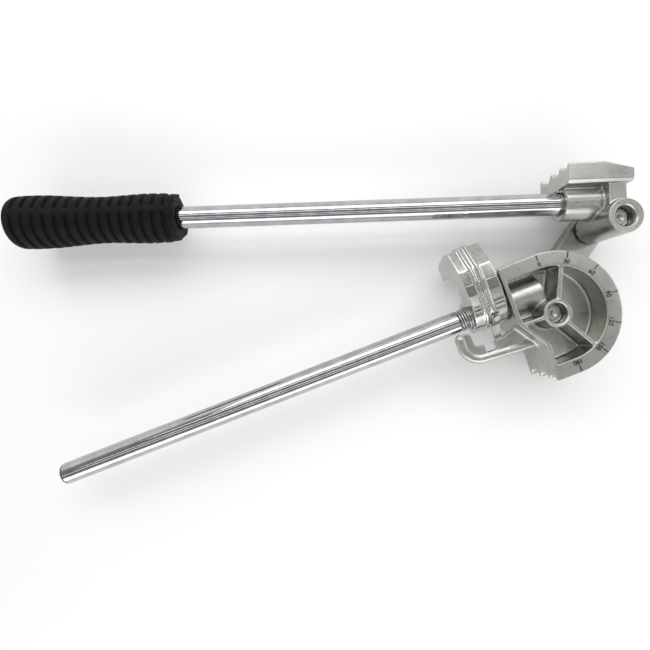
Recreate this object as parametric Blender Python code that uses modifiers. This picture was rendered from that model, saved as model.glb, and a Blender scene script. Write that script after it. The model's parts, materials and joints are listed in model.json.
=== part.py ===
"""Three-size lever tube bender, 0 to 180 degrees, for 8, 10 and 12 mm tube.

Units are metres and +Z is up.  The tool lies on its back: the forming wheel's axis is
vertical and passes through the origin, and z = 0 is the back face of the link arm.
Angles of the frames are measured from +X in the horizontal plane.
"""
import math

import bmesh
import bpy
from mathutils import Matrix, Vector

# ---------------------------------------------------------------- driving dimensions
GAP = 0.0003                     # clearance between faces that would touch
TUBE_SIZES = (0.008, 0.010, 0.012)   # the three tubes, top groove to bottom groove
RIDGE = 0.0025                   # land between two grooves
BEND_RADIUS = 0.043              # wheel axis to the centre of every tube
LINK_LENGTH = 0.0808             # wheel pin to shoe pin
FIXED_ANGLE = 21.3               # direction of the fixed handle's frame
LINK_ANGLE = 55.4                # direction from the wheel pin to the shoe pin
SHOE_ANGLE = 1.55                # direction of the shoe's frame

LINK_THICK = 0.0117
WHEEL_Z0 = 0.013                 # lower face of the wheel and of the shoe
WHEEL_THICK = sum(TUBE_SIZES) + 4 * RIDGE
WHEEL_Z1 = WHEEL_Z0 + WHEEL_THICK
MID_Z = WHEEL_Z0 + WHEEL_THICK / 2

# forming wheel, in the frame of the fixed handle
WALL_X = -0.0276                 # left wall's outer face
RIM_BAND = 0.0104                # width of the rim seen from above
WEB_HALF = 0.002                 # half the thickness of the web
SIDE_WALL = 0.003
HUB_R = 0.00975
HUB_BORE_R = 0.0068
MOUTH = 0.0014                   # chamfer round the mouth of both pivot bores
SOCKET_BOSS_R = 0.0119           # boss that holds the stud

# fixed handle, along its own frame's X
HANDLE_OFFSET = 0.0173           # handle axis to the wheel's axis
TUBE_R = 0.008                   # both handles are 16 mm tube
TUBE_BORE_R = 0.0063
FIXED_TUBE_X = (-0.3715, -0.0605)
STUD_R = 0.006
STUD_X = (-0.095, -0.0065)
SOCKET_BORE_R = 0.0063
CROSS_PIN_X = -0.080             # spring pin that locks the tube to the stud, pressed in from below
CROSS_BORE_R = 0.0017
CROSS_PIN_Z = (-0.0074, 0.0030)  # its ends, from the handle's axis

# latch, in a frame on the fixed handle's axis: U points away from the wheel's axis, W is up
LATCH_X = (-0.0530, -0.0294)
LATCH_BORE_R = 0.0064
RING_X = (-0.0457, -0.0407)      # the two raised rings
RING_WIDTH = 0.0018
RING_RISE = 0.0012
WASHER_THICK = 0.0012 - GAP
POINTER_X = (-0.0418, -0.0362)
POINTER_R = (0.0203, 0.0215)     # the strip's two faces, from the centre of the latch's front
RIVET_R = 0.0013
RIVET_BORE_R = RIVET_R + GAP
RIVET_REACH = (0.0130, 0.0230)   # rivet bore's ends, from the centre of the latch's drum

# shoe, in the frame of the shoe pin
SHOE_FACE_Y = 0.0374             # grooved face to the shoe pin
BOSS_R = 0.0118
SOCKET_R = 0.0124
MOVING_OFFSET = 0.0146           # moving handle's axis to the shoe pin
MOVING_Z = MID_Z - 0.001
MOVING_TUBE_X = (-0.4315, -0.0095)
GRIP_X = (-0.4415, -0.3157)
PIN_R = 0.005
PIN_TOP = 0.0465                 # upper end of both pins, below the top faces
BUSH_R = 0.0065
BUSH_BORE_R = 0.0053
PIN_HEAD_R = 0.0075
PIN_HEAD_Z = 0.0028              # thickness of the pin's head
THRUST_Z = (LINK_THICK + GAP, WHEEL_Z0 - GAP)
GRUB_X = -0.020                  # grub screw that holds the moving handle
GRUB_BORE_R = 0.0028
LINK_HALF = 0.012                # half the link's width
WAIST_X = (0.022, 0.0588)        # recess in the link's back
WAIST_R = 0.0075

COLLECTION = "tube_bender"
CUTTERS = "cutters"


# ---------------------------------------------------------------- scene helpers
def clear_scene():
    for obj in list(bpy.data.objects):
        bpy.data.objects.remove(obj, do_unlink=True)


def new_collection(name):
    group = bpy.data.collections.new(name)
    bpy.context.scene.collection.children.link(group)
    return group


def make_material(name, colour, roughness, metallic):
    mat = bpy.data.materials.new(name)
    mat.use_nodes = True
    shader = mat.node_tree.nodes["Principled BSDF"]
    shader.inputs["Base Color"].default_value = (*colour, 1.0)
    shader.inputs["Roughness"].default_value = roughness
    shader.inputs["Metallic"].default_value = metallic
    mat.diffuse_color = (*colour, 1.0)
    return mat


def add_frame(name, location, angle):
    """An empty that carries a group of parts: its X axis points at the given angle."""
    empty = bpy.data.objects.new(name, None)
    empty.location = location
    empty.rotation_euler = (0, 0, math.radians(angle))
    bpy.data.collections[COLLECTION].objects.link(empty)
    return empty


def add_mesh(name, mesh, frame, group=COLLECTION):
    obj = bpy.data.objects.new(name, mesh)
    obj.parent = frame
    bpy.data.collections[group].objects.link(obj)
    if group == CUTTERS:
        obj.hide_render = True
        obj.display_type = "WIRE"
    return obj


def finish(obj, material, smooth_angle=35):
    obj.data.materials.clear()
    obj.data.materials.append(material)
    obj.data.shade_smooth()
    obj.data.set_sharp_from_angle(angle=math.radians(smooth_angle))
    return obj


# ---------------------------------------------------------------- shape helpers
def cylinder_mesh(radius, start, end, sides=32):
    """A closed cylinder between two points."""
    start, end = Vector(start), Vector(end)
    bm = bmesh.new()
    bmesh.ops.create_cone(bm, cap_ends=True, segments=sides, radius1=radius, radius2=radius,
                          depth=(end - start).length)
    turn = (end - start).to_track_quat("Z", "Y").to_matrix().to_4x4()
    turn = turn @ Matrix.Rotation(math.pi / sides * 0.7, 4, "Z")
    bmesh.ops.transform(bm, matrix=Matrix.Translation((start + end) / 2) @ turn, verts=bm.verts)
    mesh = bpy.data.meshes.new("cylinder")
    bm.to_mesh(mesh)
    bm.free()
    return mesh


def mouth_mesh(radius, widening, z):
    """A cone that opens a bore at height z by the widening, at 45 degrees."""
    bm = bmesh.new()
    bmesh.ops.create_cone(bm, cap_ends=True, segments=32, radius1=radius - widening,
                          radius2=radius + 2 * widening, depth=3 * widening)
    turn = Matrix.Rotation(math.pi / 32 * 0.3, 4, "Z")
    bmesh.ops.transform(bm, matrix=Matrix.Translation((0, 0, z - widening / 2)) @ turn, verts=bm.verts)
    mesh = bpy.data.meshes.new("mouth")
    bm.to_mesh(mesh)
    bm.free()
    return mesh


def box_mesh(low, high):
    bm = bmesh.new()
    bmesh.ops.create_cube(bm, size=1)
    size = [high[i] - low[i] for i in range(3)]
    centre = [(high[i] + low[i]) / 2 for i in range(3)]
    bmesh.ops.scale(bm, vec=size, verts=bm.verts)
    bmesh.ops.translate(bm, vec=centre, verts=bm.verts)
    mesh = bpy.data.meshes.new("box")
    bm.to_mesh(mesh)
    bm.free()
    return mesh


def curve_to_mesh(curve):
    """Evaluate a curve to a mesh and weld its caps."""
    temp = bpy.data.objects.new("temp", curve)
    bpy.context.scene.collection.objects.link(temp)
    graph = bpy.context.evaluated_depsgraph_get()
    mesh = bpy.data.meshes.new_from_object(temp.evaluated_get(graph))
    bpy.data.objects.remove(temp)
    bm = bmesh.new()
    bm.from_mesh(mesh)
    bmesh.ops.remove_doubles(bm, verts=bm.verts, dist=0.000005)
    bmesh.ops.recalc_face_normals(bm, faces=bm.faces)
    bm.to_mesh(mesh)
    bm.free()
    return mesh


def plate_mesh(outline, z0, z1):
    """A flat outline in the XY plane, made as thick as z0 to z1."""
    curve = bpy.data.curves.new("outline", "CURVE")
    curve.dimensions = "2D"
    curve.fill_mode = "BOTH"
    curve.extrude = (z1 - z0) / 2
    spline = curve.splines.new("POLY")
    spline.points.add(len(outline) - 1)
    for point, (x, y) in zip(spline.points, outline):
        point.co = (x, y, 0, 1)
    spline.use_cyclic_u = True
    mesh = curve_to_mesh(curve)
    mesh.transform(Matrix.Translation((0, 0, (z0 + z1) / 2)))
    return mesh


def rod_mesh(points, radius, bevel=3):
    """A round rod along a line of points."""
    curve = bpy.data.curves.new("rod", "CURVE")
    curve.dimensions = "3D"
    curve.bevel_depth = radius
    curve.bevel_resolution = bevel
    curve.use_fill_caps = True
    spline = curve.splines.new("POLY")
    spline.points.add(len(points) - 1)
    for point, co in zip(spline.points, points):
        point.co = (*co, 1)
        point.tilt = 0.13
    return curve_to_mesh(curve)


def turned(name, profile, frame, material, sides=24, axis="Z", place=(0, 0, 0)):
    """A turned part: profile is (radius, height) from top to bottom, spun about its axis."""
    bm = bmesh.new()
    verts = [bm.verts.new((r, 0, h)) for r, h in profile]
    for a, b in zip(verts, verts[1:]):
        bm.edges.new((a, b))
    closed_ring = profile[0][0] > 0 and profile[-1][0] > 0
    if closed_ring:
        bm.edges.new((verts[-1], verts[0]))
    mesh = bpy.data.meshes.new(name)
    bm.to_mesh(mesh)
    bm.free()
    obj = add_mesh(name, mesh, frame)
    obj.location = place
    if axis == "X":
        obj.rotation_euler = (0, math.radians(90), 0)
    screw = obj.modifiers.new("turn", "SCREW")
    screw.steps = sides
    screw.render_steps = sides
    screw.use_merge_vertices = True
    screw.merge_threshold = 0.00001
    finish(obj, material)
    return obj


def arc(cx, cy, radius, start, end, steps):
    """Points on an arc, both ends included, angles in degrees."""
    points = []
    for i in range(steps + 1):
        a = math.radians(start + (end - start) * i / steps)
        points.append((cx + radius * math.cos(a), cy + radius * math.sin(a)))
    return points


def boolean(obj, tool, operation):
    mod = obj.modifiers.new(tool.name, "BOOLEAN")
    mod.operation = operation
    mod.object = tool
    mod.solver = "EXACT"


def cut(obj, name, mesh):
    boolean(obj, add_mesh(name, mesh, obj.parent, CUTTERS), "DIFFERENCE")


def join(obj, name, mesh):
    boolean(obj, add_mesh(name, mesh, obj.parent, CUTTERS), "UNION")


def groove_heights():
    """Centre height and radius of each groove, from the top face down."""
    z = WHEEL_Z1 - RIDGE
    grooves = []
    for size in TUBE_SIZES:
        grooves.append((z - size / 2, size / 2))
        z -= size + RIDGE
    return grooves


# ---------------------------------------------------------------- forming wheel
def wheel_outline(inset=0.0, wall=0.0):
    """D-shaped outline of the wheel; inset draws the edge of the pockets."""
    r = BEND_RADIUS - inset
    points = [(WALL_X + wall, r)]
    points += arc(0, 0, r, 90, -90, 32)
    points += [(-0.0170 + wall, -r), (-0.0152 + wall, -0.0177), (WALL_X + wall, 0.0015)]
    return points


def rib_mesh(angle, length, width):
    """A radial rib standing on both sides of the web."""
    mesh = box_mesh((HUB_R - 0.002, -width / 2, WHEEL_Z0 + 0.0006),
                    (length, width / 2, WHEEL_Z1 - 0.0006))
    mesh.transform(Matrix.Rotation(math.radians(angle), 4, "Z"))
    return mesh


def guard_outline():
    """The notched plate of the latch guard, left of the wheel's lower wall."""
    return [(-0.0672, 0.0075), (-0.0645, 0.0088), (-0.0580, 0.0070), (-0.0570, 0.0050),
            (-0.0570, -0.0028), (-0.0505, -0.0040), (-0.0508, -0.0100), (-0.0424, -0.0102),
            (-0.0430, -0.0050), (-0.0408, -0.0034), (-0.0350, -0.0034), (-0.0230, 0.0005),
            (-0.0140, -0.0155), (-0.0550, -0.0128), (-0.0620, -0.0090), (-0.0656, -0.0030)]


def guard_rod_points():
    z = MID_Z + 0.005
    bend = arc(-0.0535, -0.0013, 0.0117, -94, -178, 8)
    points = [(-0.0128, -0.0160, z)]
    points += [(x, y, z) for x, y in bend]
    points.append((-0.0650, 0.0060, z))
    return points


def make_forming_wheel(frame, material):
    wheel = add_mesh("forming_wheel", plate_mesh(wheel_outline(), WHEEL_Z0, WHEEL_Z1), frame)
    join(wheel, "guard_plate", plate_mesh(guard_outline(), MID_Z + 0.003, MID_Z + 0.0075))
    join(wheel, "guard_rod", rod_mesh(guard_rod_points(), 0.0037))
    pocket = wheel_outline(RIM_BAND, SIDE_WALL)
    cut(wheel, "pocket_top", plate_mesh(pocket, MID_Z + WEB_HALF, WHEEL_Z1 + 0.002))
    cut(wheel, "pocket_bottom", plate_mesh(pocket, WHEEL_Z0 - 0.002, MID_Z - WEB_HALF))
    ribs = ((64.5, 0.036, 0.0032), (-61.5, 0.036, 0.0028), (178.0, 0.0262, 0.0026))
    for i, (angle, length, width) in enumerate(ribs):
        join(wheel, "rib_%d" % i, rib_mesh(angle, length, width))
    hub = cylinder_mesh(HUB_R, (0, 0, WHEEL_Z0 + 0.0002), (0, 0, WHEEL_Z1 - 0.0002), 40)
    join(wheel, "hub", hub)
    boss = cylinder_mesh(SOCKET_BOSS_R, (-0.0262, HANDLE_OFFSET, MID_Z),
                         (0.0010, HANDLE_OFFSET, MID_Z))
    join(wheel, "socket_boss", boss)
    for i, (z, r) in enumerate(groove_heights()):
        path = [(WALL_X - 0.010, BEND_RADIUS, z)]
        path += [(x, y, z) for x, y in arc(0, 0, BEND_RADIUS, 92, -92, 29)]
        path.append((-0.030, -BEND_RADIUS, z))
        cut(wheel, "groove_%d" % i, rod_mesh(path, r))
    cut(wheel, "hub_bore", cylinder_mesh(HUB_BORE_R, (0, 0, 0.01), (0, 0, 0.06)))
    cut(wheel, "hub_mouth", mouth_mesh(HUB_BORE_R, MOUTH, WHEEL_Z1))
    bore = cylinder_mesh(SOCKET_BORE_R, (-0.035, HANDLE_OFFSET, MID_Z),
                         (-0.004, HANDLE_OFFSET, MID_Z))
    cut(wheel, "stud_bore", bore)
    return finish(wheel, material)


# ---------------------------------------------------------------- pins and bushes
def pin_profile(top):
    return [(0, top - 0.0016), (0.0026, top), (PIN_R - 0.0004, top), (PIN_R, top - 0.0004),
            (PIN_R, top - 0.0008), (PIN_R - 0.0008, top - 0.0008), (PIN_R - 0.0008, top - 0.0020),
            (PIN_R, top - 0.0020),
            (PIN_R, PIN_HEAD_Z), (PIN_HEAD_R, PIN_HEAD_Z), (PIN_HEAD_R, 0.0004),
            (PIN_HEAD_R - 0.0004, 0), (0, 0)]


def ring_profile(outer, inner, z0, z1):
    return [(outer, z1), (outer, z0), (inner, z0), (inner, z1)]


def make_circlip(name, frame, z, material):
    """An open retaining ring in a pin's groove."""
    outline = arc(0, 0, 0.0061, 25, 335, 24) + arc(0, 0, PIN_R - 0.0005, 335, 25, 24)
    clip = add_mesh(name, plate_mesh(outline, z, z + 0.0008), frame)
    return finish(clip, material)


def make_pin_set(prefix, frame, mats):
    """Pin, bush, washers and retaining ring of one pivot, on the frame's Z axis."""
    turned(prefix + "_pin", pin_profile(PIN_TOP), frame, mats["pin"])
    bush_top = PIN_TOP - 0.0032
    turned(prefix + "_bushing", ring_profile(BUSH_R, BUSH_BORE_R, WHEEL_Z0, bush_top), frame,
           mats["bronze"])
    turned(prefix + "_thrust_washer", ring_profile(0.0098, BUSH_BORE_R, *THRUST_Z), frame,
           mats["zinc"])
    turned(prefix + "_pin_washer", ring_profile(0.0063, BUSH_BORE_R, bush_top + GAP,
                                                bush_top + GAP + 0.0008), frame, mats["zinc"])
    make_circlip(prefix + "_circlip", frame, PIN_TOP - 0.0018, mats["zinc"])


# ---------------------------------------------------------------- link arm
def make_link_arm(frame, material):
    outline = arc(0, 0, LINK_HALF, 90, 270, 20) + arc(LINK_LENGTH, 0, LINK_HALF, -90, 90, 20)
    link = add_mesh("link_arm", plate_mesh(outline, 0, LINK_THICK), frame)
    for i, x in enumerate((0, LINK_LENGTH)):
        cut(link, "link_bore_%d" % i, cylinder_mesh(BUSH_BORE_R, (x, 0, -0.001), (x, 0, 0.02)))
        cut(link, "link_recess_%d" % i,
            cylinder_mesh(PIN_HEAD_R + 0.0004, (x, 0, -0.001), (x, 0, PIN_HEAD_Z + GAP)))
    waist = arc(WAIST_X[0], 0, WAIST_R, 90, 270, 12) + arc(WAIST_X[1], 0, WAIST_R, -90, 90, 12)
    cut(link, "link_waist", plate_mesh(waist, -0.001, 0.004))
    return finish(link, material)


# ---------------------------------------------------------------- shoe
def lengthwise(mesh):
    """Turn a plate drawn as (Y, Z) with its thickness along Z so that the thickness is along X."""
    mesh.transform(Matrix(((0, 0, 1, 0), (1, 0, 0, 0), (0, 1, 0, 0), (0, 0, 0, 1))))
    return mesh


def make_bending_shoe(frame, material):
    outline = [(-0.0375, SHOE_FACE_Y), (-0.0135, SHOE_FACE_Y), (0.0062, 0.0324),
               (0.0062, 0.0236), (-0.0375, 0.0234)]
    shoe = add_mesh("bending_shoe", plate_mesh(outline, WHEEL_Z0, WHEEL_Z1), frame)
    boss = cylinder_mesh(BOSS_R, (0, 0, WHEEL_Z0 + 0.0001), (0, 0, WHEEL_Z1 - 0.0001), 40)
    join(shoe, "shoe_boss", boss)
    socket = cylinder_mesh(SOCKET_R, (-0.0343, MOVING_OFFSET, MOVING_Z),
                           (-0.004, MOVING_OFFSET, MOVING_Z), 40)
    join(shoe, "shoe_socket", socket)
    neck = box_mesh((-0.0085, 0.005, WHEEL_Z0 + 0.003), (0.0035, 0.024, WHEEL_Z1 - 0.004))
    join(shoe, "shoe_neck", neck)
    web = box_mesh((-0.0372, 0.0190, WHEEL_Z0 + 0.0015), (-0.0050, 0.0240, MID_Z + 0.004))
    join(shoe, "shoe_web", web)
    low_edge, high = 0.0222, WHEEL_Z1 + 0.0015
    bevel = plate_mesh([(low_edge, high), (low_edge + 0.005, high), (low_edge, high - 0.005)],
                       -0.045, 0.015)
    cut(shoe, "block_bevel", lengthwise(bevel))
    for i, (z, r) in enumerate(groove_heights()):
        line = cylinder_mesh(r, (-0.045, SHOE_FACE_Y, z), (0.015, SHOE_FACE_Y, z), 24)
        cut(shoe, "shoe_groove_%d" % i, line)
    cut(shoe, "shoe_bore", cylinder_mesh(HUB_BORE_R, (0, 0, 0.01), (0, 0, 0.06)))
    cut(shoe, "shoe_mouth", mouth_mesh(HUB_BORE_R, MOUTH, WHEEL_Z1))
    cut(shoe, "handle_bore", cylinder_mesh(TUBE_R + GAP, (-0.045, MOVING_OFFSET, MOVING_Z),
                                           (-0.009, MOVING_OFFSET, MOVING_Z)))
    screw_bore = cylinder_mesh(GRUB_BORE_R, (GRUB_X, MOVING_OFFSET, 0.010),
                               (GRUB_X, MOVING_OFFSET, MOVING_Z - TUBE_R - 0.0001), 20)
    cut(shoe, "screw_bore", screw_bore)
    return finish(shoe, material)


def make_tube(name, frame, x_range, y, z, material, sides=32):
    x0, x1 = x_range
    profile = ring_profile(TUBE_R, TUBE_BORE_R, x0, x1)
    return turned(name, profile, frame, material, sides, "X", (0, y, z))


def make_end_plug(name, frame, x, y, z, material):
    """A domed plug in a tube's far end; its stem is inside the tube."""
    stem = TUBE_BORE_R - GAP
    profile = [(0, x + 0.012), (stem, x + 0.012), (stem, x - GAP), (TUBE_R - 0.0002, x - GAP),
               (TUBE_R - 0.0004, x - 0.0012), (TUBE_R - 0.0020, x - 0.0026), (0, x - 0.0030)]
    return turned(name, profile, frame, material, 32, "X", (0, y, z))


def make_grip(frame, material):
    """Rubber grip: a round-ended sleeve, thick at both ends."""
    x0, x1 = GRIP_X
    bore = TUBE_R + GAP
    length = x1 - x0
    outside = [(0.0110, 0.0), (0.0160, 0.0), (0.0182, 0.0012), (0.0182, 0.018), (0.0172, 0.042),
               (0.0170, 0.066), (0.0182, 0.090), (0.0196, 0.108), (0.0198, 0.116),
               (0.0192, length - 0.0050), (0.0168, length - 0.0014), (0.0090, length - 0.0002),
               (0.0, length)]
    blind = x0 + 0.006
    profile = [(0, blind), (bore, blind), (bore, x1)] + [(r, x1 - d) for r, d in outside]
    return turned("handle_grip", profile, frame, material, 36, "X", (0, MOVING_OFFSET, MOVING_Z))


# ---------------------------------------------------------------- stud, spring and latch
def latch_outline(grow=0.0):
    """Section of the latch: a round base on the stud, a front leg and a hook over the grooves.

    Coordinates are (U, W); grow widens the outside for the two raised rings.
    """
    points = arc(0.0, 0.0, 0.0120 + grow, 20, -150, 14)
    points += arc(0.008, 0.0, 0.020 + grow, 187, 92, 16)
    points += [(0.0150 + grow, 0.0210 + grow), (0.0220 + grow, 0.0210 + grow),
               (0.0326 + grow, 0.0192 + grow), (0.0484 + grow, 0.0112 + grow),
               (0.0490 + grow, 0.0020), (0.0457 + grow, -0.0160), (0.0427, -0.0215 - grow),
               (0.0317 - grow, -0.0215 - grow), (0.0317 - grow, 0.0030 - grow),
               (0.0270, 0.0030 - grow)]
    return points


def section_to_frame(mesh):
    """Turn a plate drawn as (U, W) with its thickness along Z to lie along the handle."""
    mesh = lengthwise(mesh)
    mesh.transform(Matrix.Translation((0, HANDLE_OFFSET, MID_Z)))
    return mesh


def make_latch(frame, material):
    body = section_to_frame(plate_mesh(latch_outline(), *LATCH_X))
    latch = add_mesh("tube_latch", body, frame)
    for i, x in enumerate(RING_X):
        ring = section_to_frame(plate_mesh(latch_outline(RING_RISE), x, x + RING_WIDTH))
        join(latch, "latch_ring_%d" % i, ring)
    seat = arc(0.008, 0.0, POINTER_R[0] - GAP + 0.00005, 116, 186, 10)
    seat += arc(0.008, 0.0, POINTER_R[1] + 0.003, 186, 116, 10)
    seat_mesh = plate_mesh(seat, POINTER_X[0] - GAP, POINTER_X[1] + GAP)
    cut(latch, "pointer_seat", section_to_frame(seat_mesh))
    bore = cylinder_mesh(LATCH_BORE_R, (-0.06, HANDLE_OFFSET, MID_Z),
                         (-0.02, HANDLE_OFFSET, MID_Z))
    cut(latch, "latch_bore", bore)
    cut(latch, "latch_rivet_bore", rivet_mesh(RIVET_BORE_R, *RIVET_REACH))
    return finish(latch, material)


def rivet_mesh(radius, start, end):
    """A cylinder along the rivet's axis, between two distances from the drum's centre."""
    a = math.radians(128)
    x = (POINTER_X[0] + POINTER_X[1]) / 2
    centre = Vector((x, HANDLE_OFFSET + 0.008, MID_Z))
    way = Vector((0, math.cos(a), math.sin(a)))
    return cylinder_mesh(radius, centre + way * start, centre + way * end, 20)


def make_pointer(frame, material):
    """A bent strip riveted to the latch; its foot points at the guard."""
    inner = arc(0.008, 0.0, POINTER_R[0], 120, 150, 6) + [(-0.0196, 0.0042)]
    outer = arc(0.008, 0.0, POINTER_R[1], 120, 150, 6) + [(-0.0200, 0.0054)]
    outline = inner + outer[::-1]
    strip = section_to_frame(plate_mesh(outline, *POINTER_X))
    pointer = add_mesh("index_pointer", strip, frame)
    cut(pointer, "pointer_bore", rivet_mesh(RIVET_BORE_R, *RIVET_REACH))
    return finish(pointer, material)


def make_rivet(frame, material):
    rivet = add_mesh("pointer_rivet", rivet_mesh(RIVET_R, 0.0134, 0.0222), frame)
    join(rivet, "rivet_head", rivet_mesh(0.0021, 0.0218, 0.0228))
    return finish(rivet, material)


def make_spring(frame, material):
    """A compression spring round the stud, between the handle's end and the latch."""
    wire, mean = 0.0007, 0.00735
    x0 = FIXED_TUBE_X[1] + GAP + wire
    x1 = LATCH_X[0] - WASHER_THICK - 2 * GAP - wire
    turns, per_turn = 2.25, 18
    count = int(turns * per_turn)
    points = []
    for i in range(count + 1):
        a = 2 * math.pi * i / per_turn
        points.append((x0 + (x1 - x0) * i / count, HANDLE_OFFSET + mean * math.cos(a),
                       MID_Z + mean * math.sin(a)))
    spring = add_mesh("latch_spring", rod_mesh(points, wire, 2), frame)
    return finish(spring, material, 60)


def make_stud(frame, material):
    x0, x1 = STUD_X
    r = STUD_R
    profile = [(0, x1), (r - 0.0012, x1), (r, x1 - 0.0012), (r, x0 + 0.001), (r - 0.001, x0), (0, x0)]
    return turned("handle_stud", profile, frame, material, 28, "X", (0, HANDLE_OFFSET, MID_Z))


def make_cross_pin(name, frame, x, y, z, material):
    """A slotted spring pin that locks a handle tube to what is inside it."""
    outline = arc(x, y, 0.0014, 20, 340, 16) + arc(x, y, 0.0008, 340, 20, 16)
    pin = add_mesh(name, plate_mesh(outline, z + CROSS_PIN_Z[0], z + CROSS_PIN_Z[1]), frame)
    return finish(pin, material)


def make_fixed_handle(frame, mats):
    y, z = HANDLE_OFFSET, MID_Z
    tube = make_tube("fixed_handle_tube", frame, FIXED_TUBE_X, y, z, mats["chrome"])
    stud = make_stud(frame, mats["zinc"])
    for i, part in enumerate((tube, stud)):
        mesh = cylinder_mesh(CROSS_BORE_R, (CROSS_PIN_X, y, z - 0.012),
                             (CROSS_PIN_X, y, z + CROSS_PIN_Z[1] + GAP), 20)
        tool = add_mesh("cross_bore_%d" % i, mesh, frame, CUTTERS)
        boolean(part, tool, "DIFFERENCE")
    make_cross_pin("stud_spring_pin", frame, CROSS_PIN_X, y, z, mats["zinc"])
    make_end_plug("fixed_handle_plug", frame, FIXED_TUBE_X[0], y, z, mats["chrome"])


def make_washer_x(name, frame, x0, x1, outer, inner, material):
    return turned(name, ring_profile(outer, inner, x0, x1), frame, material, 24, "X",
                  (0, HANDLE_OFFSET, MID_Z))


def make_moving_handle(frame, mats):
    y, z = MOVING_OFFSET, MOVING_Z
    make_tube("moving_handle_tube", frame, MOVING_TUBE_X, y, z, mats["chrome"])
    make_end_plug("moving_handle_plug", frame, MOVING_TUBE_X[0], y, z, mats["zinc"])
    make_grip(frame, mats["rubber"])
    low = z - TUBE_R - GAP
    profile = [(0, low), (0.0012, low), (0.0024, low - 0.0012), (0.0024, low - 0.0050),
               (0.0012, low - 0.0050), (0.0012, low - 0.0035), (0, low - 0.0035)]
    turned("handle_grub_screw", profile, frame, mats["dark"], 20, "Z", (GRUB_X, y, 0))


def build():
    clear_scene()
    new_collection(COLLECTION)
    new_collection(CUTTERS)
    mats = {
        "cast": make_material("cast_aluminium", (0.62, 0.63, 0.60), 0.38, 1.0),
        "chrome": make_material("chrome", (0.72, 0.73, 0.75), 0.12, 1.0),
        "zinc": make_material("zinc_steel", (0.55, 0.56, 0.57), 0.35, 1.0),
        "pin": make_material("ground_steel", (0.45, 0.45, 0.46), 0.3, 1.0),
        "bronze": make_material("bronze", (0.55, 0.45, 0.30), 0.35, 1.0),
        "dark": make_material("black_steel", (0.06, 0.06, 0.065), 0.45, 0.8),
        "rubber": make_material("black_rubber", (0.02, 0.02, 0.022), 0.6, 0.0),
    }
    wheel_frame = add_frame("wheel_frame", (0, 0, 0), FIXED_ANGLE)
    link_frame = add_frame("link_frame", (0, 0, 0), LINK_ANGLE)
    link = math.radians(LINK_ANGLE)
    shoe_pin = (LINK_LENGTH * math.cos(link), LINK_LENGTH * math.sin(link), 0)
    shoe_frame = add_frame("shoe_frame", shoe_pin, SHOE_ANGLE)

    make_forming_wheel(wheel_frame, mats["cast"])
    make_pin_set("wheel", wheel_frame, mats)
    make_link_arm(link_frame, mats["cast"])
    make_bending_shoe(shoe_frame, mats["cast"])
    make_pin_set("shoe", shoe_frame, mats)
    make_moving_handle(shoe_frame, mats)
    make_fixed_handle(wheel_frame, mats)
    make_latch(wheel_frame, mats["cast"])
    make_pointer(wheel_frame, mats["bronze"])
    make_rivet(wheel_frame, mats["zinc"])
    make_spring(wheel_frame, mats["zinc"])
    make_washer_x("latch_washer", wheel_frame, LATCH_X[1] + GAP, WALL_X - GAP, 0.0100, LATCH_BORE_R,
                  mats["zinc"])
    make_washer_x("spring_washer", wheel_frame, LATCH_X[0] - WASHER_THICK - GAP, LATCH_X[0] - GAP, 0.0088,
                  LATCH_BORE_R, mats["zinc"])


build()
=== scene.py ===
"""Looks of the lever tube bender: finished pieces, materials, floor, lights and camera.

Every piece is modelled in the local frame of its group, in metres, with the origin on a pivot's
axis at floor height. The wheel frame and the shoe frame have their X axis parallel to their
handle. The link frame has it from one pivot towards the other.
"""
import json
import math

import bmesh
import bpy
from mathutils import Matrix, Vector


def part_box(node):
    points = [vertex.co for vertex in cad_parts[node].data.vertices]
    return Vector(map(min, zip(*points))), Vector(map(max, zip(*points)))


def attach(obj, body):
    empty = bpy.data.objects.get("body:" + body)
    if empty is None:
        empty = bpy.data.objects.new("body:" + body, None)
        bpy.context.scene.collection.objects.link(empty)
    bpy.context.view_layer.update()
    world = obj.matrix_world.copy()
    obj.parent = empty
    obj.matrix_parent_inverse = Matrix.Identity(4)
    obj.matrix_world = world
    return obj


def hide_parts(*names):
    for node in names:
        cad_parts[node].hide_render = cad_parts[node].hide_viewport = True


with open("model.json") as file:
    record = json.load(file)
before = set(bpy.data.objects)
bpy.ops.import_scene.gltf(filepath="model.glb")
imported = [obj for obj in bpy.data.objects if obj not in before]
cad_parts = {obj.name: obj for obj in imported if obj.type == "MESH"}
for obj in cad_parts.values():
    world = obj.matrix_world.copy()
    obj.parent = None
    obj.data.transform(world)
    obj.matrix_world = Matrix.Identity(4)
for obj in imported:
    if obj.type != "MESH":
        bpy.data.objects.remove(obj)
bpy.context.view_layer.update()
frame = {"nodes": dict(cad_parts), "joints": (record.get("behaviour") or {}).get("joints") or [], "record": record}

JOINTS = {joint["name"]: joint for joint in frame["joints"]}
PIVOT = Vector(JOINTS["shoe_swing"]["pos_m"])
HANDLE_AXIS = Vector(JOINTS["latch_swing"]["axis"])
HANDLE_POINT = Vector(JOINTS["latch_swing"]["pos_m"])
SHOE_ANGLE = math.radians(1.55)
HANDLE_ANGLE = math.atan2(HANDLE_AXIS.y, HANDLE_AXIS.x)
WHEEL_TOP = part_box("forming_wheel")[1].z
MID_Z = HANDLE_POINT.z           # height of the fixed handle's axis
RIM_R = 0.043                    # outer radius of the wheel
HANDLE_Y = 0.0173                # fixed handle's axis in the wheel frame
MOVING_Y = 0.0146                # moving handle's axis in the shoe frame
MOVING_Z = MID_Z - 0.001
HANDLE_LINE = (HANDLE_Y, MID_Z)  # (y, z) of each handle's axis, parallel to X
MOVING_LINE = (MOVING_Y, MOVING_Z)
TUBE_R = 0.008
TUBE_WALL = 0.0017
TUBE_EDGE = 0.0005               # broken edges of the tubes' ends
TUBE_END = -0.0605               # fixed tube's end beside the spring
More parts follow.
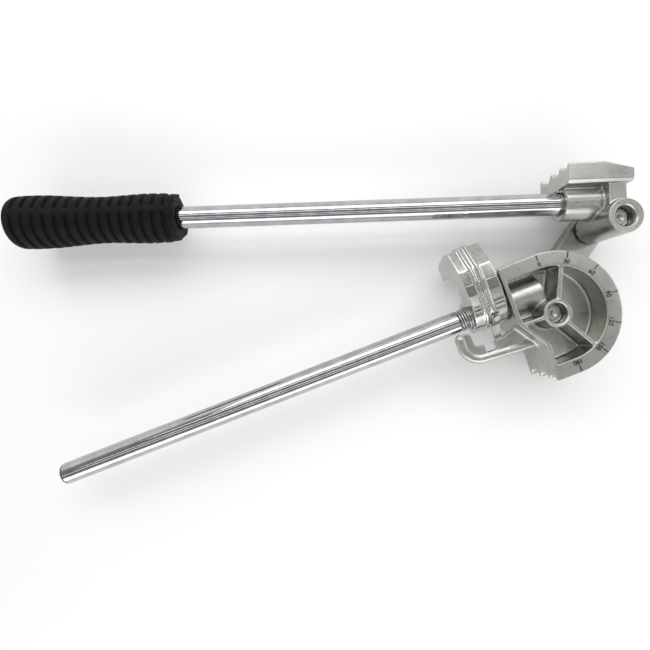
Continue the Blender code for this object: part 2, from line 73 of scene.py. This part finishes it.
FIXED_TUBE_X = (-0.3715, TUBE_END)
MOVING_TUBE_X = (-0.4315, -0.0095)
ROUND_SIDES = 96                 # facets round a tube
WELD_GAP = 0.000001
CAD_WELD_GAP = 0.000004


def frame_at(x, y, angle):
    return Matrix.Translation((x, y, 0)) @ Matrix.Rotation(angle, 4, "Z")


WHEEL = frame_at(0, 0, HANDLE_ANGLE)
LINK = frame_at(0, 0, math.atan2(PIVOT.y, PIVOT.x))
SHOE = frame_at(PIVOT.x, PIVOT.y, SHOE_ANGLE)


# ---------------------------------------------------------------- material nodes
NOISE_SPAN = (0.3, 0.7)


def set_stops(color_ramp, stops):
    """Give a colour ramp its stops: (place, colour), low to high."""
    while len(color_ramp.elements) < len(stops):
        color_ramp.elements.new(0.5)
    for element, (place, colour) in zip(color_ramp.elements, stops):
        element.position = place
        element.color = (*colour, 1.0)


class Nodes:
    """Short calls for building one material's node tree."""

    def __init__(self, name):
        self.material = bpy.data.materials.new(name)
        self.material.use_nodes = True
        self.tree = self.material.node_tree
        self.shader = self.tree.nodes["Principled BSDF"]
        coords = self.tree.nodes.new("ShaderNodeTexCoord")
        self.place = coords.outputs["Object"]

    def link(self, a, b):
        self.tree.links.new(a, b)

    def stretched(self, scale, angle):
        """Coordinates turned about Z by the angle, then scaled along the turned axes."""
        node = self.tree.nodes.new("ShaderNodeMapping")
        node.vector_type = "TEXTURE"
        node.inputs["Rotation"].default_value = (0, 0, angle)
        node.inputs["Scale"].default_value = [1.0 / s for s in scale]
        self.link(self.place, node.inputs["Vector"])
        return node.outputs["Vector"]

    def noise(self, scale, detail=3.0, vector=None, distortion=0.0):
        node = self.tree.nodes.new("ShaderNodeTexNoise")
        node.inputs["Scale"].default_value = scale
        node.inputs["Detail"].default_value = detail
        node.inputs["Distortion"].default_value = distortion
        self.link(vector or self.place, node.inputs["Vector"])
        return node.outputs["Fac"]

    def ramp(self, value, stops):
        node = self.tree.nodes.new("ShaderNodeValToRGB")
        set_stops(node.color_ramp, stops)
        self.link(value, node.inputs["Fac"])
        return node.outputs["Color"]

    def remap(self, value, low, high):
        """The usual span of a noise, spread over low to high."""
        node = self.tree.nodes.new("ShaderNodeMapRange")
        node.inputs["From Min"].default_value = NOISE_SPAN[0]
        node.inputs["From Max"].default_value = NOISE_SPAN[1]
        node.inputs["To Min"].default_value = low
        node.inputs["To Max"].default_value = high
        self.link(value, node.inputs["Value"])
        return node.outputs["Result"]

    def multiply(self, a, b):
        node = self.tree.nodes.new("ShaderNodeMix")
        node.data_type = "RGBA"
        node.blend_type = "MULTIPLY"
        node.inputs["Factor"].default_value = 1.0
        first, second = [i for i in node.inputs if i.type == "RGBA" and i.name in "AB"]
        self.link(a, first)
        self.link(b, second)
        return next(out for out in node.outputs if out.type == "RGBA")

    def pointiness(self):
        return self.tree.nodes.new("ShaderNodeNewGeometry").outputs["Pointiness"]

    def bump(self, heights):
        """heights: (value, strength, distance), coarse to fine."""
        normal = None
        for value, strength, distance in heights:
            node = self.tree.nodes.new("ShaderNodeBump")
            node.inputs["Strength"].default_value = strength
            node.inputs["Distance"].default_value = distance
            self.link(value, node.inputs["Height"])
            if normal:
                self.link(normal, node.inputs["Normal"])
            normal = node.outputs["Normal"]
        self.link(normal, self.shader.inputs["Normal"])

    def finish(self, colour, roughness, metallic=1.0):
        self.link(colour, self.shader.inputs["Base Color"])
        self.link(roughness, self.shader.inputs["Roughness"])
        self.shader.inputs["Metallic"].default_value = metallic
        return self.material


def cast_metal(name, dark, light, rough, grain):
    """Die-cast aluminium: uneven tone, bright worn edges, painted shade in the hollows and on flats, fine skin."""
    n = Nodes(name)
    tone = n.ramp(n.noise(45, 3, distortion=0.4), [(0.30, dark), (0.70, light)])
    # pointiness ramp: convex edges lighter as wear; hollows and flats darkened 7% as painted shade
    wear_and_hollow_shade = n.ramp(n.pointiness(), [(0.50, (0.93, 0.93, 0.92)), (0.57, (1.0, 1.0, 1.0))])
    stain = n.ramp(n.noise(420, 5), [(0.30, (0.92, 0.92, 0.89)), (0.50, (1.0, 1.0, 1.0))])
    n.bump([(n.noise(70, 1), 0.08 * grain, 0.0008), (n.noise(1300, 2), 0.25 * grain, 0.00005)])
    return n.finish(n.multiply(n.multiply(tone, wear_and_hollow_shade), stain), n.remap(n.noise(210, 4), *rough))


def plain_metal(name, dark, light, rough, scratch=(60, 900, 900), depth=0.12, angle=0.0):
    """Plated or turned metal with faint marks drawn along the direction of the angle."""
    n = Nodes(name)
    lines = n.noise(1.0, 4, n.stretched(scratch, angle))
    tone = n.ramp(n.noise(120, 3), [(0.35, dark), (0.65, light)])
    n.bump([(lines, depth, 0.00005)])
    return n.finish(tone, n.remap(lines, *rough))


def rubber():
    n = Nodes("black_rubber")
    n.shader.inputs["Specular IOR Level"].default_value = 0.14
    tone = n.ramp(n.noise(160, 4), [(0.35, (0.0025, 0.0025, 0.0028)), (0.68, (0.006, 0.006, 0.0063))])
    n.bump([(n.noise(300, 3), 0.3, 0.0003), (n.noise(2600, 3), 0.5, 0.00012)])
    return n.finish(tone, n.remap(n.noise(420, 3), 0.52, 0.70), metallic=0.0)


def make_materials():
    return {
        "cast": cast_metal("cast_aluminium", (0.41, 0.415, 0.39), (0.51, 0.515, 0.485),
                           (0.26, 0.34), 0.5),
        "bright": cast_metal("bright_cast", (0.46, 0.465, 0.45), (0.58, 0.58, 0.56),
                             (0.12, 0.18), 0.12),
        "chrome": plain_metal("chrome_tube", (0.40, 0.405, 0.42), (0.50, 0.505, 0.52),
                              (0.05, 0.10), (12, 500, 500), 0.02, HANDLE_ANGLE),
        "shoe_chrome": plain_metal("moving_chrome", (0.40, 0.405, 0.42), (0.50, 0.505, 0.52),
                                   (0.05, 0.10), (12, 500, 500), 0.02, SHOE_ANGLE),
        "mark": plain_metal("dark_marks", (0.07, 0.07, 0.062), (0.13, 0.13, 0.12), (0.5, 0.65)),
        "zinc": plain_metal("zinc_steel", (0.45, 0.46, 0.46), (0.66, 0.67, 0.67), (0.22, 0.38)),
        "ground": plain_metal("ground_steel", (0.28, 0.28, 0.27), (0.50, 0.50, 0.48), (0.24, 0.40)),
        "spring": plain_metal("spring_steel", (0.34, 0.34, 0.32), (0.60, 0.60, 0.58), (0.18, 0.32)),
        "bronze": plain_metal("worn_bronze", (0.30, 0.285, 0.255), (0.46, 0.445, 0.41), (0.28, 0.46)),
        "dark": plain_metal("black_steel", (0.03, 0.03, 0.032), (0.07, 0.07, 0.072), (0.35, 0.5)),
        "rubber": rubber(),
    }


# ---------------------------------------------------------------- mesh helpers
def add(name, mesh, place, body, material, replaced=()):
    """Put a mesh in the scene as a piece that rides on a body and replaces CAD nodes."""
    obj = bpy.data.objects.new(name, mesh)
    bpy.context.scene.collection.objects.link(obj)
    mesh.materials.clear()
    mesh.materials.append(material)
    mesh.transform(place)
    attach(obj, body)
    if replaced:
        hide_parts(*replaced)


def evaluated(data, modify=None):
    """A mesh or curve as a mesh, after the modifiers that modify(object) puts on it."""
    obj = bpy.data.objects.new("temp", data)
    bpy.context.scene.collection.objects.link(obj)
    if modify:
        modify(obj)
    graph = bpy.context.evaluated_depsgraph_get()
    result = bpy.data.meshes.new_from_object(obj.evaluated_get(graph))
    bpy.data.objects.remove(obj)
    return result


def local_copy(node, place):
    """A CAD node's mesh, welded, in the local frame."""
    mesh = frame["nodes"][node].data.copy()
    mesh.transform(place.inverted())
    bm = bmesh.new()
    bm.from_mesh(mesh)
    bmesh.ops.remove_doubles(bm, verts=bm.verts, dist=CAD_WELD_GAP)
    bm.to_mesh(mesh)
    bm.free()
    return mesh


def smooth(mesh, angle=40):
    mesh.shade_smooth()
    mesh.set_sharp_from_angle(angle=math.radians(angle))
    return mesh


def cast_mesh(node, place, voxel, fillet, rounds):
    """A casting: inner corners filled to a radius, then every edge softened."""
    def modify(obj):
        for distance in (fillet, -fillet):
            remesh = obj.modifiers.new("voxels", "REMESH")
            remesh.mode = "VOXEL"
            remesh.voxel_size = voxel
            shift = obj.modifiers.new("shift", "DISPLACE")
            shift.strength = distance
            shift.mid_level = 0.0
        last = obj.modifiers.new("voxels", "REMESH")
        last.mode = "VOXEL"
        last.voxel_size = voxel
        soften = obj.modifiers.new("soften", "SMOOTH")
        soften.factor = 0.5
        soften.iterations = rounds
    mesh = evaluated(local_copy(node, place), modify)
    mesh.shade_smooth()
    return mesh


def weld(mesh):
    bm = bmesh.new()
    bm.from_mesh(mesh)
    bmesh.ops.remove_doubles(bm, verts=bm.verts, dist=WELD_GAP)
    bmesh.ops.recalc_face_normals(bm, faces=bm.faces)
    bm.to_mesh(mesh)
    bm.free()
    return mesh


def turned(name, ring_points, sides, line, capped):
    """A skin over rings round an axis parallel to X.

    Each of ring_points maps an angle to (x, radius). line is the axis's (y, z).
    """
    bm = bmesh.new()
    rings = []
    for point in ring_points:
        ring = []
        for j in range(sides):
            a = 2 * math.pi * j / sides
            x, r = point(a)
            ring.append(bm.verts.new((x, line[0] + r * math.cos(a), line[1] + r * math.sin(a))))
        rings.append(ring)
    for a, b in zip(rings, rings[1:]):
        for j in range(sides):
            k = (j + 1) % sides
            bm.faces.new((a[j], b[j], b[k], a[k]))
    if capped:
        bm.faces.new(rings[0])
        bm.faces.new(rings[-1])
    bmesh.ops.recalc_face_normals(bm, faces=bm.faces)
    mesh = bpy.data.meshes.new(name)
    bm.to_mesh(mesh)
    bm.free()
    return mesh


def plain_ring(x, radius):
    return lambda angle: (x, radius)


def tube_mesh(x0, x1, line):
    """A tube with broken edges: its profile is closed into a loop and welded."""
    outer, inner, edge = TUBE_R, TUBE_R - TUBE_WALL, TUBE_EDGE
    profile = [(x0 + edge, outer), (x1 - edge, outer), (x1, outer - edge), (x1, inner + edge),
               (x1 - edge, inner), (x0 + edge, inner), (x0, inner + edge), (x0, outer - edge),
               (x0 + edge, outer)]
    return weld(turned("tube", [plain_ring(*p) for p in profile], ROUND_SIDES, line, False))


# ---------------------------------------------------------------- pieces
def make_tubes(mats):
    for name, node, place, body, material, ends, line in (
            ("fixed_tube", "fixed_handle_tube", WHEEL, "head", "chrome", FIXED_TUBE_X,
             HANDLE_LINE),
            ("moving_tube", "moving_handle_tube", SHOE, "shoe", "shoe_chrome", MOVING_TUBE_X,
             MOVING_LINE)):
        add(name, smooth(tube_mesh(*ends, line)), place, body, mats[material],
            [node])


GRIP_START = -0.4379             # closed end
GRIP_LENGTH = 0.1230
GRIP_PITCH = 0.00783             # from rib to rib
GRIP_PHASE = 0.94                # share of a pitch at the closed end; a slot's middle is at 0
GRIP_RIB_DEPTH = 0.0022
GRIP_SLOT_WALL = (0.07, 0.25)    # from a slot's middle, as shares of a pitch
GRIP_FADE_START = (0.001, 0.004)    # where the slots begin, from the closed end
GRIP_FADE_END = 0.003            # how far from the open end they fade out
# (distance from the closed end, outer radius)
GRIP_SHAPE = [(0.0, 0.0148), (0.0004, 0.0168), (0.0014, 0.0183), (0.0035, 0.0192),
              (0.0080, 0.0196), (0.0180, 0.0197), (0.0300, 0.0193), (0.0440, 0.0182),
              (0.0580, 0.0172), (0.0700, 0.0169), (0.0860, 0.0176), (0.1010, 0.0182),
              (0.1150, 0.0179), (GRIP_LENGTH, 0.0168)]
GRIP_BAND = math.radians(80)     # angle of one smooth lengthwise band; another is opposite
GRIP_BAND_HALF = math.radians(8)
GRIP_STEPS, GRIP_SIDES = 420, 160
LIP_REACH = 0.008                # how far from the open end the lip is ragged
LIP_WAVES = ((0.0014, 3, 0.6), (0.0004, 11, 0.0))    # (height, count, start)
BORE_R = TUBE_R + 0.0001
GRIP_MOUTH = ((0.0150, 0.0004), (0.0120, 0.0006), (0.0095, 0.0005), (BORE_R, 0.0),
              (BORE_R, -0.020))  # (radius, distance past the open end)


def interpolate(points, x):
    for (x0, y0), (x1, y1) in zip(points, points[1:]):
        if x <= x1:
            t = (x - x0) / (x1 - x0)
            return y0 + (y1 - y0) * t
    return points[-1][1]


def smooth_step(low, high, x):
    t = min(1.0, max(0.0, (x - low) / (high - low)))
    return t * t * (3 - 2 * t)


def grip_radius(d, angle):
    """Outer radius at a distance from the closed end: rounded ribs with narrow slots."""
    radius = interpolate(GRIP_SHAPE, d)
    phase = (d / GRIP_PITCH + GRIP_PHASE) % 1.0
    rib = smooth_step(*GRIP_SLOT_WALL, min(phase, 1.0 - phase))
    for turn in (0, math.pi):
        off = abs((angle - GRIP_BAND - turn + math.pi) % (2 * math.pi) - math.pi)
        rib = max(rib, 1.0 - smooth_step(GRIP_BAND_HALF * 0.8, GRIP_BAND_HALF * 1.2, off))
    fade = (smooth_step(*GRIP_FADE_START, d)
            * smooth_step(GRIP_LENGTH, GRIP_LENGTH - GRIP_FADE_END, d))
    return radius - GRIP_RIB_DEPTH * (1.0 - rib) * fade


def grip_ring(d):
    """The ring at a distance from the closed end, made ragged near the open end."""
    near_lip = smooth_step(GRIP_LENGTH - LIP_REACH, GRIP_LENGTH, d)

    def point(angle):
        ragged = sum(height * math.sin(count * angle + start)
                     for height, count, start in LIP_WAVES)
        return GRIP_START + d + near_lip * ragged, grip_radius(d, angle)
    return point


def make_grip(mats):
    """The rubber grip, with a ragged lip where the tube enters."""
    rings = [grip_ring(GRIP_LENGTH * i / GRIP_STEPS) for i in range(GRIP_STEPS + 1)]
    rings += [plain_ring(GRIP_START + GRIP_LENGTH + depth, radius) for radius, depth in GRIP_MOUTH]
    mesh = turned("grip", rings, GRIP_SIDES, MOVING_LINE, True)
    mesh.shade_smooth()
    add("ribbed_grip", mesh, SHOE, "shoe", mats["rubber"], ["handle_grip"])


def make_castings(mats):
    """voxel and fillet are in metres; rounds is how often the surface is smoothed."""
    for node, name, place, body, material, voxel, fillet, rounds in (
            ("forming_wheel", "cast_wheel", WHEEL, "head", "cast", 0.0004, 0.0009, 4),
            ("bending_shoe", "cast_shoe", SHOE, "shoe", "cast", 0.00035, 0.0005, 3),
            ("link_arm", "cast_link", LINK, "link", "cast", 0.0004, 0.0006, 4),
            ("tube_latch", "cast_latch", WHEEL, "latch", "bright", 0.00027, 0.0005, 8)):
        mesh = cast_mesh(node, place, voxel, fillet, rounds)
        add(name, mesh, place, body, mats[material], [node])


def mark_mesh(parts):
    """One mesh from several (mesh, matrix) parts."""
    bm = bmesh.new()
    for mesh, place in parts:
        mesh.transform(place)
        bm.from_mesh(mesh)
    result = bpy.data.meshes.new("marks")
    bm.to_mesh(result)
    bm.free()
    return result


def text_mesh(body, size, height):
    curve = bpy.data.curves.new("numeral", "FONT")
    curve.body = body
    curve.size = size
    curve.align_x = "CENTER"
    curve.align_y = "CENTER"
    curve.extrude = height
    return evaluated(curve)


FIRST_MARK = math.radians(90)    # zero mark, in the wheel frame
MARK_COUNT = 7
MARK_STEP = 30                   # degrees between numbered marks
MARK_RISE = 0.0005               # above the rim
MARK_LENGTH = 0.0042
MARK_WIDTH = 0.0005
MARK_INSET = 0.0028              # from the rim to a mark's middle
NUMERAL_SIZE = 0.0044
NUMERAL_INSET = 0.0074           # from the rim to a numeral's middle


def make_scale(mats):
    """Degree marks and numerals, raised on the wheel's front rim."""
    parts = []
    for i in range(MARK_COUNT):
        angle = FIRST_MARK - math.radians(MARK_STEP * i)
        turn = Matrix.Translation((0, 0, WHEEL_TOP)) @ Matrix.Rotation(angle, 4, "Z")
        bar = bpy.data.meshes.new("bar")
        bm = bmesh.new()
        bmesh.ops.create_cube(bm, size=1)
        bmesh.ops.scale(bm, vec=(MARK_LENGTH, MARK_WIDTH, 2 * MARK_RISE), verts=bm.verts)
        bm.to_mesh(bar)
        bm.free()
        parts.append((bar, turn @ Matrix.Translation((RIM_R - MARK_INSET, 0, 0))))
        numeral = text_mesh(str(MARK_STEP * i), NUMERAL_SIZE, MARK_RISE)
        stand = (Matrix.Translation((RIM_R - NUMERAL_INSET, 0, 0))
                 @ Matrix.Rotation(-math.pi / 2, 4, "Z"))
        parts.append((numeral, turn @ stand))
    add("degree_scale", mark_mesh(parts), WHEEL, "head", mats["mark"])


def wire_mesh(points, radius):
    curve = bpy.data.curves.new("wire", "CURVE")
    curve.dimensions = "3D"
    curve.bevel_depth = radius
    curve.bevel_resolution = 5
    curve.use_fill_caps = True
    spline = curve.splines.new("POLY")
    spline.points.add(len(points) - 1)
    for point, co in zip(spline.points, points):
        point.co = (*co, 1)
    return weld(evaluated(curve))


SPRING_X = (TUBE_END + 0.0010, -0.0552)
SPRING_WIRE_R = 0.0007
SPRING_MEAN_R = 0.00735
SPRING_TURNS = 2.25
SPRING_STEPS = 48                # points per turn


def make_spring(mats):
    """The coil between the fixed handle's end and the latch."""
    start, end = SPRING_X
    count = int(SPRING_TURNS * SPRING_STEPS)
    points = []
    for i in range(count + 1):
        a = 2 * math.pi * i / SPRING_STEPS
        points.append((start + (end - start) * i / count, HANDLE_Y + SPRING_MEAN_R * math.cos(a),
                       MID_Z + SPRING_MEAN_R * math.sin(a)))
    add("coil_spring", smooth(wire_mesh(points, SPRING_WIRE_R), 60), WHEEL, "head",
        mats["spring"], ["latch_spring"])


STUD_X = (-0.0949, -0.0066)
STUD_STEP = 0.00025              # between the thread's rings
STUD_SIDES = 48
STUD_LEAD_IN = 0.0012            # tapered length at each end
THREAD_R = 0.0060                # over the crests
THREAD_DEPTH = 0.0006
THREAD_PITCH = 0.00125


def stud_ring(x):
    """One ring of the thread: its ends taper to 0.85 of the radius."""
    end = smooth_step(0, STUD_LEAD_IN, min(x - STUD_X[0], STUD_X[1] - x))

    def point(angle):
        turn = (x / THREAD_PITCH - angle / (2 * math.pi)) % 1.0
        return x, (THREAD_R - THREAD_DEPTH * abs(2 * turn - 1)) * (0.85 + 0.15 * end)
    return point


def make_stud(mats):
    """The stud on the fixed handle's axis, threaded over its whole length."""
    x0, x1 = STUD_X
    count = int((x1 - x0) / STUD_STEP)
    rings = [stud_ring(x0 + (x1 - x0) * i / count) for i in range(count + 1)]
    mesh = turned("thread", rings, STUD_SIDES, HANDLE_LINE, True)
    add("threaded_stud", smooth(mesh, 30), WHEEL, "head", mats["zinc"],
        ["handle_stud"])


def finish_cad_nodes(mats):
    """The small pieces keep their CAD shape and take a finished material."""
    slots = {"zinc_steel": "zinc", "ground_steel": "ground", "bronze": "bronze",
             "black_steel": "dark", "chrome_tube": "chrome", "cast_aluminium": "cast",
             "spring_steel": "spring", "black_rubber": "rubber"}
    for part in frame["record"]["subparts"]:
        mesh = frame["nodes"][part["node"]].data
        mesh.materials.clear()
        mesh.materials.append(mats[slots[part["material_slot"]]])


# ---------------------------------------------------------------- stage
FLOOR_HALF = 3.0
FLOOR_Z = -0.0004
LIGHT_TARGET = (-0.15, 0.0, 0.03)
LIGHTS = (                       # name, place, (width, depth), watts
    ("key", (-0.15, 0.60, 0.70), (1.4, 0.45), 4.8),
    ("fill", (-0.10, -0.80, 0.45), (1.4, 0.40), 3.6),
    ("side", (0.80, 0.10, 0.45), (0.30, 0.9), 0.8),
    ("strip", (-0.15, 0.22, 0.85), (1.6, 0.05), 0.8),
    ("strip", (-0.15, -0.16, 0.85), (1.6, 0.06), 0.5),
    ("strip", (-0.15, -0.42, 0.85), (1.6, 0.07), 0.5))
SKY = ((0.0, 1.0), (0.36, 1.0), (0.60, 0.36), (0.82, 0.24), (1.0, 0.30))    # (height, grey)
SKY_STRENGTH = 1.10
CAMERA_LENS = 22.77              # mm, on a 36 mm sensor
CAMERA_PLACE = (-0.1514, -0.0098, 0.3369)
CAMERA_TURN = (0.357, 1.551, -0.018)    # degrees


def make_floor():
    mesh = bpy.data.meshes.new("floor")
    bm = bmesh.new()
    bmesh.ops.create_grid(bm, x_segments=1, y_segments=1, size=FLOOR_HALF)
    bm.to_mesh(mesh)
    bm.free()
    floor = bpy.data.objects.new("floor", mesh)
    floor.location.z = FLOOR_Z
    bpy.context.scene.collection.objects.link(floor)
    n = Nodes("pale_floor")
    tone = n.ramp(n.noise(3, 2), [(0.3, (0.90, 0.90, 0.90)), (0.7, (0.93, 0.93, 0.93))])
    mesh.materials.append(n.finish(tone, n.remap(n.noise(8, 2), 0.75, 0.85), metallic=0.0))


def make_light(name, place, size, power):
    light = bpy.data.lights.new(name, "AREA")
    light.shape = "RECTANGLE"
    light.size, light.size_y = size
    light.energy = power
    obj = bpy.data.objects.new(name, light)
    obj.location = place
    aim = Vector(LIGHT_TARGET) - Vector(place)
    obj.rotation_euler = aim.to_track_quat("-Z", "Y").to_euler()
    bpy.context.scene.collection.objects.link(obj)


def make_lights():
    for light in LIGHTS:
        make_light(*light)
    world = bpy.data.worlds.new("studio")
    bpy.context.scene.world = world
    world.use_nodes = True
    tree = world.node_tree
    coords = tree.nodes.new("ShaderNodeTexCoord")
    split = tree.nodes.new("ShaderNodeSeparateXYZ")
    ramp = tree.nodes.new("ShaderNodeValToRGB")
    set_stops(ramp.color_ramp, [(place, (grey, grey, grey)) for place, grey in SKY])
    tree.links.new(coords.outputs["Generated"], split.inputs["Vector"])
    tree.links.new(split.outputs["Z"], ramp.inputs["Fac"])
    tree.links.new(ramp.outputs["Color"], tree.nodes["Background"].inputs["Color"])
    tree.nodes["Background"].inputs["Strength"].default_value = SKY_STRENGTH
    bpy.context.scene.view_settings.view_transform = "Standard"


def make_camera():
    camera = bpy.data.cameras.new("camera")
    camera.sensor_width = 36.0
    camera.lens = CAMERA_LENS
    obj = bpy.data.objects.new("camera", camera)
    obj.location = CAMERA_PLACE
    obj.rotation_euler = [math.radians(a) for a in CAMERA_TURN]
    bpy.context.scene.collection.objects.link(obj)
    bpy.context.scene.camera = obj


materials = make_materials()
finish_cad_nodes(materials)
make_castings(materials)
make_tubes(materials)
make_grip(materials)
make_scale(materials)
make_spring(materials)
make_stud(materials)
make_floor()
make_lights()
make_camera()
